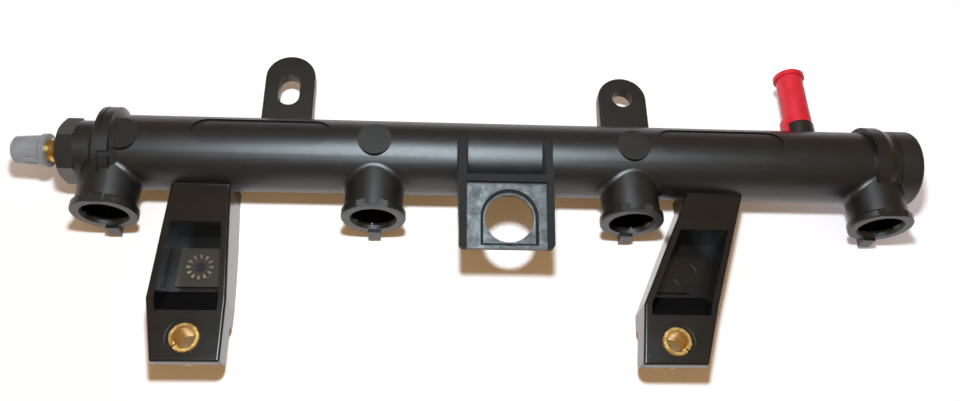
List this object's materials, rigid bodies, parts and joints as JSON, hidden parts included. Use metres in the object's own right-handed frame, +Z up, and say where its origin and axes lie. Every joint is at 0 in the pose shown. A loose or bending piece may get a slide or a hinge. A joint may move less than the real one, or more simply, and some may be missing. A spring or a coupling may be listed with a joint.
{
  "type": "fuel rail",
  "caption": "Moulded engine fuel rail with injector ports, bolt-on legs, ears, a clip bracket, a capped inlet and a test valve.",
  "frame": {"origin": "axis of the left leg's bolt hole, on the plane where the legs and ears seat", "axes": "+X along the rail from the valve end to the welded end, +Y from the feet to the ears, +Z up along the bolts; the injector ports point to -Y"},
  "size_m": [0.3119, 0.1172, 0.0328],
  "materials": {
    "black_moulding": "satin, glass-filled",
    "black_end_cap": "satin, glass-filled",
    "black_plug": "satin, glass-filled",
    "black_rubber": "matte",
    "brass": "machined",
    "spring_steel": "drawn",
    "grey_plastic": "matte",
    "red_plastic": "smooth soft plastic"
  },
  "bodies": {
    "rail": {"rail_body": "black_moulding", "end_cap": "black_end_cap", "valve_plug": "black_plug", "valve_plug_o_ring": "black_rubber", "valve_stem": "brass", "valve_core_barrel": "brass", "valve_core_seal_ring": "black_rubber", "valve_core_spring": "spring_steel", "valve_cap": "grey_plastic", "valve_cap_washer": "black_rubber", "left_leg_limiter": "brass", "right_leg_limiter": "brass", "inlet_dust_cap": "red_plastic"},
    "valve_pin": {"valve_core_pin": "brass", "valve_core_plunger_seal": "black_rubber"}
  },
  "joints": [
    {"name": "valve_pin_press", "type": "slide", "parent": "rail", "child": "valve_pin", "axis": [1, 0, 0], "range_m": [0, 0.001], "stiffness_N_per_m": 1000, "springref_m": -0.003, "deforming": ["valve_core_spring"]}
  ]
}
